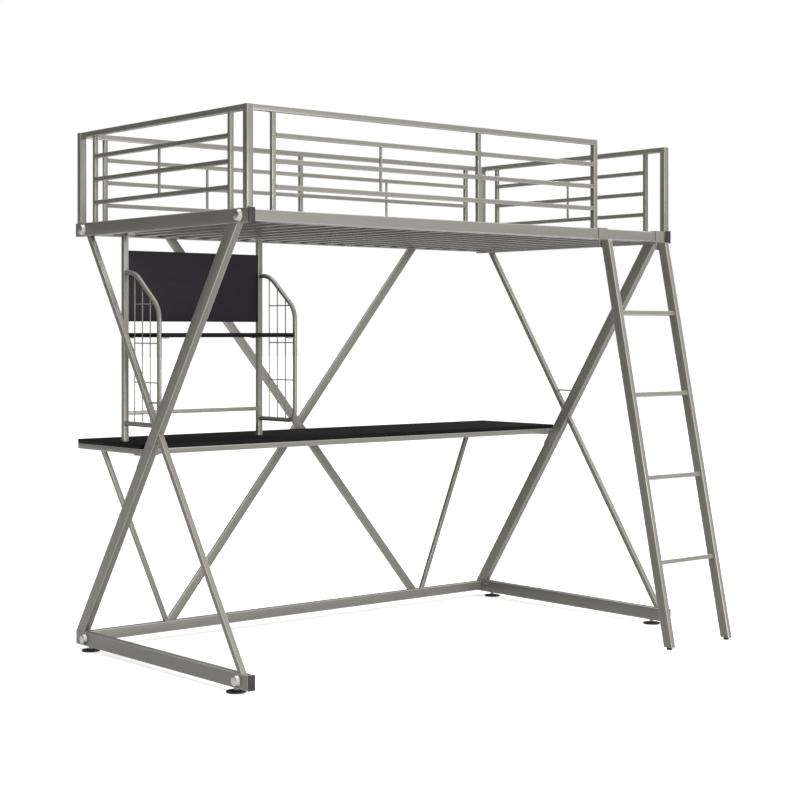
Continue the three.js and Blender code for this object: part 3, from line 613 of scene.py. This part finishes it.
def band_edges(panel, face_axis):
    """The panel's narrow sides carry a plastic band."""
    panel.data.materials.append(edge_band)
    for face in panel.data.polygons:
        face.material_index = 0 if abs(face.normal[face_axis]) > 0.7 else 1


def rolled_bar(work, start, stop, u, v, half_u, half_v, corner):
    """A square tube with rolled corners between two points, and a hollow look at each open end."""
    rings = []
    along = (stop - start).normalized()
    hollow = along * OPEN_END_DEPTH
    for place, inset in (
        (start + hollow, THIN_WALL),
        (start, THIN_WALL),
        (start, 0),
        (stop, 0),
        (stop, THIN_WALL),
        (stop - hollow, THIN_WALL),
    ):
        loop = rounded_loop(place, u, v, half_u - inset, half_v - inset, max(corner - inset, LEAST_CORNER))
        rings.append([work.verts.new(p) for p in loop])
    skin(work, rings)


# Camera, floor and light.

VIEW_LENS = 76.33
VIEW_SHIFT = -0.0847
VIEW_FROM_CORNER = (-3.0074, -4.2885, 1.1225)
VIEW_TURN = -40.135


def look_from_the_front_corner():
    camera = bpy.data.cameras.new("viewpoint")
    camera.lens = VIEW_LENS
    camera.sensor_width = 36.0
    camera.shift_y = VIEW_SHIFT
    camera.clip_end = 100.0
    holder = bpy.data.objects.new("viewpoint", camera)
    corner = Vector((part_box("left_leg")[0].x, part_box("left_front_plug")[0].y, 0.0))
    holder.location = corner + Vector(VIEW_FROM_CORNER)
    holder.rotation_euler = (math.radians(90), 0, math.radians(VIEW_TURN))
    bpy.context.scene.collection.objects.link(holder)
    bpy.context.scene.camera = holder


def studio_floor():
    work = bmesh.new()
    bmesh.ops.create_grid(work, x_segments=2, y_segments=2, size=60.0)
    floor = mesh_from("studio_floor", work)
    made, tree, shader = new_material("pale_floor", (0.93, 0.93, 0.93), 0.9)
    tone = noise(tree, texture_place(tree), 1.5, 5.0, 0.5)
    pale, paler = (0.92, 0.92, 0.915, 1.0), (0.96, 0.96, 0.955, 1.0)
    colour = blend_colour(tree, calc(tree, "MULTIPLY", tone, 0.3), paler, pale)
    tree.links.new(colour, shader.inputs["Base Color"])
    shader.inputs["Specular IOR Level"].default_value = 0.0
    shader.inputs["Emission Color"].default_value = (1.0, 1.0, 1.0, 1.0)
    shader.inputs["Emission Strength"].default_value = 0.45
    sight = tree.nodes.new("ShaderNodeLightPath")
    dim = tree.nodes.new("ShaderNodeBsdfDiffuse")
    dim.inputs["Color"].default_value = (0.16, 0.16, 0.156, 1.0)
    pick = tree.nodes.new("ShaderNodeMixShader")
    glossy = calc(tree, "MULTIPLY", sight.outputs["Is Glossy Ray"], 0.6)
    tree.links.new(calc(tree, "MAXIMUM", sight.outputs["Is Camera Ray"], glossy), pick.inputs[0])
    tree.links.new(dim.outputs[0], pick.inputs[1])
    tree.links.new(shader.outputs[0], pick.inputs[2])
    tree.links.new(pick.outputs[0], tree.nodes["Material Output"].inputs["Surface"])
    floor.data.materials.append(made)
    floor.location.z = -0.0005


def studio_sky():
    """A soft box of light: bright from the ladder side and above, dim from behind the hutch end."""
    world = bpy.data.worlds.new("studio_world")
    world.use_nodes = True
    tree = world.node_tree
    place = tree.nodes.new("ShaderNodeTexCoord")
    aim = tree.nodes.new("ShaderNodeVectorMath")
    aim.operation = "DOT_PRODUCT"
    aim.inputs[1].default_value = Vector((0.22, -0.96, 0.12)).normalized()
    tree.links.new(place.outputs["Generated"], aim.inputs[0])
    side = remap(tree, aim.outputs["Value"], -0.7, 0.9, 0.09, 0.95)
    split = tree.nodes.new("ShaderNodeSeparateXYZ")
    tree.links.new(place.outputs["Generated"], split.inputs[0])
    above = remap(tree, split.outputs["Z"], 0.25, 1.0, 0.0, 0.7)
    light = calc(tree, "ADD", side, above)
    sight = tree.nodes.new("ShaderNodeLightPath")
    seen = tree.nodes.new("ShaderNodeMix")
    tree.links.new(sight.outputs["Is Camera Ray"], seen.inputs[0])
    tree.links.new(light, seen.inputs[2])
    seen.inputs[3].default_value = 1.0
    back = tree.nodes["Background"]
    back.inputs["Color"].default_value = (1.0, 1.0, 1.0, 1.0)
    tree.links.new(seen.outputs[0], back.inputs["Strength"])
    bpy.context.scene.world = world


def studio_lamps():
    for name, place, size, power in (
        ("front_card", (0.6, -6.4, 1.1), 1.6, 150.0),
        ("side_card", (5.5, 1.0, 3.0), 2.0, 60.0),
        ("corner_card", (-4.6, -4.6, 2.2), 0.5, 12.0),
        ("top_card", (0.0, 0.5, 5.0), 3.0, 70.0),
    ):
        lamp = bpy.data.lights.new(name, "AREA")
        lamp.size = size
        lamp.energy = power
        made = bpy.data.objects.new(name, lamp)
        made.location = place
        made.rotation_euler = (Vector((0, 0, 0.9)) - Vector(place)).to_track_quat("-Z", "Y").to_euler()
        bpy.context.scene.collection.objects.link(made)


look_from_the_front_corner()
studio_floor()
studio_sky()
studio_lamps()
bpy.context.scene.view_settings.view_transform = "Standard"

HEAVY = [
    "left_end_rail", "right_end_rail", "left_base_rail", "right_base_rail", "left_leg", "right_leg",
    "front_side_rail", "back_side_rail", "back_base_rail",
]
LIGHT = [
    "left_upper_brace", "right_upper_brace", "left_lower_brace", "right_lower_brace",
    "left_desk_strut", "right_desk_strut", "back_brace_long", "back_brace_upper", "back_brace_lower",
    "left_hutch_upright", "right_hutch_upright", "hutch_crossbar", "desk_frame",
    "left_guard", "right_guard", "front_guard", "back_guard",
]
# The rounded corner faces take the lighter corner coat, a painted highlight.
for node in HEAVY:
    rolled(node, HEAVY_CORNER, tube_coat, corner_material=corner_highlight_coat)
for node in LIGHT:
    rolled(node, LIGHT_CORNER, tube_coat, corner_material=corner_highlight_coat)
for node in ("ladder_inner_stile", "ladder_outer_stile"):
    rolled(node, HEAVY_CORNER, ladder_coat, corner_material=corner_highlight_coat)
for number in range(1, 5):
    rolled(f"ladder_rung_{number}", LIGHT_CORNER, ladder_coat, corner_material=corner_highlight_coat)
for node in ("ladder_inner_hook", "ladder_outer_hook"):
    rolled(node, HOOK_CORNER, ladder_coat)
for node, face_axis, finish, slot_name in (
    ("desk_top", 2, desk_laminate, "laminate"),
    ("hutch_shelf", 2, desk_laminate, "laminate"),
    ("hutch_board", 1, board_laminate, "board"),
):
    band_edges(rolled(node, PANEL_EDGE, finish), face_axis)

# Pieces with their own shape.


def chrome_bolt_cap(node):
    """A spun cap over a frame bolt: flared skirt, conical wall, lightly domed face, small centre dimple."""
    low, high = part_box(node)
    outward = X if high.x > 0 else -X
    face = low.x + CAP_SHANK_LENGTH if outward.x > 0 else high.x - CAP_SHANK_LENGTH
    seat = Vector((face, (low.y + high.y) / 2, (low.z + high.z) / 2))
    work = bmesh.new()
    turned(work, Vector(), outward, [
        (0, -CAP_SHANK_LENGTH),
        (CAP_SHANK, -CAP_SHANK_LENGTH),
        (CAP_SHANK, 0.0),
        (CAP_RADIUS * 0.97, 0.0),
        (CAP_RADIUS, 0.0005),
        (CAP_RADIUS, 0.0016),
        (CAP_RADIUS * 0.975, 0.0022),
        (CAP_RADIUS * 0.95, 0.0026),
        (CAP_FACE * 1.07, 0.0105),
        (CAP_FACE * 1.03, 0.0117),
        (CAP_FACE * 0.96, 0.0125),
        (CAP_FACE * 0.86, 0.0129),
        (CAP_FACE * 0.6, 0.0135),
        (CAP_FACE * 0.25, 0.0139),
        (CAP_FACE * 0.14, 0.0139),
        (CAP_FACE * 0.09, 0.0134),
        (0, 0.0132),
    ], 64)
    made = mesh_from(node + "_spun", work, 30)
    made.location = seat
    finished(made, body_of(node), chrome)
    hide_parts(node)


def levelling_foot(node):
    """A moulded disc with a raised rim, radial ribs and a hexagon collar, on a threaded stem."""
    low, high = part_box(node)
    radius = (high.x - low.x) / 2
    top = high.z - low.z
    work = bmesh.new()
    turned(work, Vector(), Z, [
        (0, 0),
        (radius * 0.93, 0),
        (radius * 0.98, 0.0006),
        (radius, 0.0016),
        (radius, 0.0036),
        (radius * 0.985, 0.0046),
        (radius * 0.95, 0.005),
        (radius * 0.91, 0.0047),
        (radius * 0.88, 0.0038),
        (radius * 0.4, 0.0042),
        (radius * 0.3, 0.006),
        (0.0082, 0.0085),
        (0, 0.0085),
    ], 64)
    for k in range(12):
        turn = 2 * math.pi * k / 12
        along = Vector((math.cos(turn), math.sin(turn), 0))
        across = Vector((-along.y, along.x, 0))
        rib = [along * (radius * 0.25) + Z * 0.0052, along * (radius * 0.9) + Z * 0.0036]
        swept(work, rib, 0.0011, 8, across)
    made = mesh_from(node + "_disc", work, 30)
    made.location = Vector(((low.x + high.x) / 2, (low.y + high.y) / 2, low.z))
    finished(made, body_of(node), foot_plastic)
    work = bmesh.new()
    collar = [(0, 0), (0.0072, 0), (0.008, 0.0008), (0.008, 0.0062), (0.0072, 0.007), (0, 0.007)]
    turned(work, Z * 0.0074, Z, collar, 6)
    stem = [(0, 0), (STEM_RADIUS, 0.0)]
    turns = int((top - 0.014) / THREAD_PITCH)
    for k in range(turns):
        stem += [(STEM_RADIUS, THREAD_PITCH * k + 0.0004), (THREAD_ROOT, THREAD_PITCH * k + 0.0011)]
    turned(work, Z * STEM_FOOT, Z, stem + [(THREAD_ROOT, top - 0.0134), (0, top - 0.0134)], 24)
    thread = mesh_from(node + "_stem", work, 40)
    thread.location = made.location
    finished(thread, body_of(node), zinc)
    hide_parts(node)


def ladder_button(node):
    """A soft button foot with a domed sole and a groove under its shoulder."""
    low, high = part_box(node)
    radius = (high.x - low.x) / 2
    work = bmesh.new()
    turned(work, Vector(), Z, [
        (0, 0),
        (radius * 0.68, 0),
        (radius * 0.84, 0.0004),
        (radius * 0.95, 0.0014),
        (radius, 0.003),
        (radius, 0.0046),
        (radius * 0.95, 0.005),
        (radius * 0.95, 0.0056),
        (radius, 0.006),
        (radius, 0.0073),
        (radius * 0.96, 0.0077),
        (0.004, 0.0077),
        (0.004, high.z - low.z),
        (0, high.z - low.z),
    ], 40)
    made = mesh_from(node + "_moulded", work, 30)
    made.location = Vector(((low.x + high.x) / 2, (low.y + high.y) / 2, low.z))
    finished(made, body_of(node), foot_rubber)
    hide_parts(node)


def smooth_bends(corners, bend, steps=14):
    """The corners with a quadratic round at each, starting one bend length away."""
    points = [corners[0]]
    for before, corner, after in zip(corners, corners[1:], corners[2:]):
        a = corner + (before - corner).normalized() * bend
        c = corner + (after - corner).normalized() * bend
        for k in range(steps + 1):
            t = k / steps
            points.append(a * (1 - t) ** 2 + corner * (2 * t * (1 - t)) + c * t * t)
    return points + [corners[-1]]


def side_rack(side):
    """The bent tube rack in front of an upright, with its wire grid and the tab that holds the shelf."""
    node = f"{side}_rack"
    low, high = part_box(node)
    post_low, post_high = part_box(f"{side}_hutch_upright")
    inward = 1 if side == "left" else -1
    x = post_low.x + UPRIGHT_TUBE / 2 if side == "left" else post_high.x - UPRIGHT_TUBE / 2
    top, bottom = high.z - RACK_TUBE / 2, low.z + RACK_TUBE / 2
    bend, front = top - RACK_SLOPE_DROP, post_low.y
    reach = low.y + RACK_TUBE / 2

    def spot(y, z):
        return Vector((x, y, z))

    corners = [
        spot(high.y, top),
        spot(front - RACK_STUB, top),
        spot(reach, bend),
        spot(reach, bottom),
        spot(high.y, bottom),
    ]
    work = bmesh.new()
    swept(work, smooth_bends(corners, RACK_BEND), RACK_TUBE / 2, 28)
    first = front - RACK_STUB
    slope = (top - bend) / (first - reach)
    wall = RACK_TUBE / 2 - THIN_WALL / 2
    wires = [first, first - RACK_WIRE_PITCH, first - 2 * RACK_WIRE_PITCH]
    for i, y in enumerate(wires):
        drop = wall * math.hypot(1, FIRST_WIRE_SLOPE if i == 0 else slope)
        swept(work, [spot(y, bottom + wall), spot(y, top - (first - y) * slope - drop)], RACK_WIRE / 2, 12)
    lowest, highest = bottom + RACK_CROSS_RISE, top - RACK_CROSS_DROP
    for z in (highest, (highest + lowest) / 2, lowest):
        edge = reach + wall
        if z > bend:
            edge = first - (top - z) / slope + wall * SLOPED_WALL
        swept(work, [spot(edge, z), spot(first + RACK_WIRE / 2, z)], RACK_WIRE / 2, 12)
        for y in wires:
            if y > edge:
                nugget = [(0, -0.0023), (0.0016, -0.0016), (0.0022, 0), (0.0016, 0.0016), (0, 0.0023)]
                turned(work, spot(y, z), Z, nugget, 10)
    shelf_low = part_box("hutch_shelf")[0].z - FIT
    tab = sorted((x + inward * wall, high.x if side == "left" else low.x))
    tab_low = (tab[0], reach - TAB_HALF_WIDTH, shelf_low - TAB_THICKNESS)
    plate(work, tab_low, (tab[1], reach + TAB_HALF_WIDTH, shelf_low))
    made = finished(mesh_from(f"{side}_rack_bent", work, 40), body_of(node), tube_coat)
    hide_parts(node)
    beads = bmesh.new()
    for z in (top, bottom):
        ring = [
            (wall, 0),
            (RACK_TUBE / 2 + 0.0012, -0.0001),
            (RACK_TUBE / 2 + 0.0011, -0.0013),
            (RACK_TUBE / 2 - 0.0004, -0.0024),
        ]
        turned(beads, spot(front, z), Y, ring, 24)
    finished(mesh_from(f"{side}_rack_welds", beads, 60), body_of(node), weld_coat)
    screws = bmesh.new()
    screw_x = x + inward * TAB_SCREW_REACH
    post_y = (post_low.y + post_high.y) / 2
    for y in (reach, post_y):
        screw_head(screws, Vector((screw_x, y, shelf_low - TAB_THICKNESS)), -Z, SMALL_HEAD)
    screw_head(screws, Vector((screw_x, post_y, post_high.z - TAB_THICKNESS)), -Z, SMALL_HEAD)
    finished(mesh_from(f"{side}_shelf_screws", screws, 40), body_of(node), zinc)


def slat_platform():
    """Box-section slats on a flat strip along each side rail, with a stitch of weld at each crossing."""
    low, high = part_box("slat_deck")
    slats = bmesh.new()
    beads = bmesh.new()
    half_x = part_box("right_end_rail")[1].x - SLAT_END_INSET
    pitch = 2 * half_x / (SLAT_COUNT - 1)
    centre_z = high.z - SLAT_HEIGHT / 2
    for k in range(SLAT_COUNT):
        x = pitch * k - half_x
        a, b = Vector((x, low.y, centre_z)), Vector((x, high.y, centre_z))
        rolled_bar(slats, a, b, X, Z, SLAT_WIDTH / 2, SLAT_HEIGHT / 2, SLAT_CORNER)
        for y, inward in ((low.y, 1), (high.y, -1)):
            for edge in (-1, 1):
                foot = low.z + SLAT_STRIP_THICKNESS
                spot = Vector((x + edge * SLAT_WIDTH / 2, y + inward * STITCH_START, foot))
                swept(beads, [spot, spot + Y * (inward * STITCH_LENGTH)], STITCH_RADIUS, 8, X)
    for y0, y1 in ((low.y, low.y + SLAT_STRIP_WIDTH), (high.y - SLAT_STRIP_WIDTH, high.y)):
        plate(slats, (low.x, y0, low.z), (high.x, y1, low.z + SLAT_STRIP_THICKNESS))
    made = finished(mesh_from("slat_deck_rolled", slats, 40), body_of("slat_deck"), slat_coat_painted_shade)
    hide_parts("slat_deck")
    finished(mesh_from("slat_deck_welds", beads, 60), body_of("slat_deck"), weld_coat)


def end_plug(node):
    """The dimple and rim moulded into the face of a tube plug."""
    low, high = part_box(node)
    out = -Y if high.y < 0 else Y
    face = low.y if out.y < 0 else high.y
    centre = Vector(((low.x + high.x) / 2, face - out.y * PLUG_RIM_RADIUS, (low.z + high.z) / 2))
    work = bmesh.new()
    weld(work, centre, out, *PLUG_RIM_HALF, 0.003, PLUG_RIM_RADIUS)
    dimple = [(0.0036, -0.001), (0.0034, 0.0004), (0.0026, 0.0005), (0.0018, 0.0001), (0, 0.0)]
    turned(work, centre, out, dimple, 24)
    finished(mesh_from(node + "_moulding", work, 60), body_of(node), plug_plastic)


def guard_welds(node, long_axis):
    """Beads round each guard rail where it meets its posts."""
    low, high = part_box(node)
    middle = (low + high) / 2
    heights = [high.z - TOP_TUBE / 2 - GUARD_PITCH * k for k in (1, 2, 3)]
    half = FILL_TUBE / 2
    work = bmesh.new()
    corners = []
    if long_axis is Y:
        places = [low.y + GUARD_POST_INSET + half, high.y - GUARD_POST_INSET - half]
        corners = [low.y + POST_TUBE, high.y - POST_TUBE]
    else:
        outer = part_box("right_end_rail")[1].x - GUARD_POST_INSET
        last = high.x - TOP_TUBE / 2 if node == "front_guard" else outer
        end_half = TOP_TUBE / 2 if node == "front_guard" else half
        places = [half - outer, -half, half, last - end_half]
    for place in places:
        for z in heights:
            spot = Vector((middle.x, place, z))
            if long_axis is X:
                spot = Vector((place, middle.y, z))
            weld(work, spot, long_axis, half, half)
    for place in corners:
        spot = Vector((middle.x, place, high.z - TOP_TUBE / 2 - CORNER_WELD_DROP))
        weld(work, spot, Y, TOP_TUBE / 2, TOP_TUBE / 2)
    finished(mesh_from(node + "_welds", work, 60), body_of(node), weld_coat)


def foot_welds(name, spots, body):
    """Beads round the feet of members that stand on a rail: centre, half sizes across and along."""
    work = bmesh.new()
    for centre, half_x, half_y in spots:
        weld(work, centre, Z, half_x, half_y, 0.003)
    finished(mesh_from(name, work, 60), body, weld_coat)


def joint_screws(side):
    """Four screws on the inner face of a floor rail, in front of its joint with the back floor rail."""
    low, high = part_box(f"{side}_base_rail")
    inward = X if side == "left" else -X
    face = high.x if side == "left" else low.x
    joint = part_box("back_base_rail")[0].y
    work = bmesh.new()
    for setback in JOINT_SCREW_SETBACKS:
        for rise in (-JOINT_SCREW_RISE, JOINT_SCREW_RISE):
            screw_head(work, Vector((face, joint - setback, (low.z + high.z) / 2 + rise)), inward, PAN_HEAD)
    finished(mesh_from(f"{side}_joint_screws", work, 40), body_of(f"{side}_base_rail"), zinc)


def slice_at(node, z, depth=0.004):
    """Centre and half sizes of a node where it stands, from its own corners near that height."""
    near = [v.co for v in nodes[node].data.vertices if abs(v.co.z - z) < depth]
    xs, ys = [c.x for c in near], [c.y for c in near]
    centre = Vector(((min(xs) + max(xs)) / 2, (min(ys) + max(ys)) / 2, z))
    return centre, (max(xs) - min(xs)) / 2, (max(ys) - min(ys)) / 2


slat_platform()
for side in ("left", "right"):
    side_rack(side)
    for name in ("front_plug", "back_plug", "base_plug"):
        rolled(f"{side}_{name}", PLUG_CORNER, plug_plastic)
        end_plug(f"{side}_{name}")
    for name in ("front", "back", "base_front", "base_back"):
        chrome_bolt_cap(f"{side}_{name}_bolt_cap")
    for name in ("front", "back"):
        levelling_foot(f"{side}_{name}_levelling_foot")
    spots = [slice_at(f"{side}_leg", corner.z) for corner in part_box(f"{side}_leg")]
    spots.append(slice_at(f"{side}_lower_brace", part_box(f"{side}_lower_brace")[0].z))
    spots.append(slice_at(f"{side}_upper_brace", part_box(f"{side}_upper_brace")[1].z))
    foot_welds(f"{side}_frame_welds", spots, body_of(f"{side}_leg"))
    guard_welds(f"{side}_guard", Y)
    joint_screws(side)
for name in ("inner", "outer"):
    ladder_button(f"ladder_{name}_foot")
for node in ("front_guard", "back_guard"):
    guard_welds(node, X)
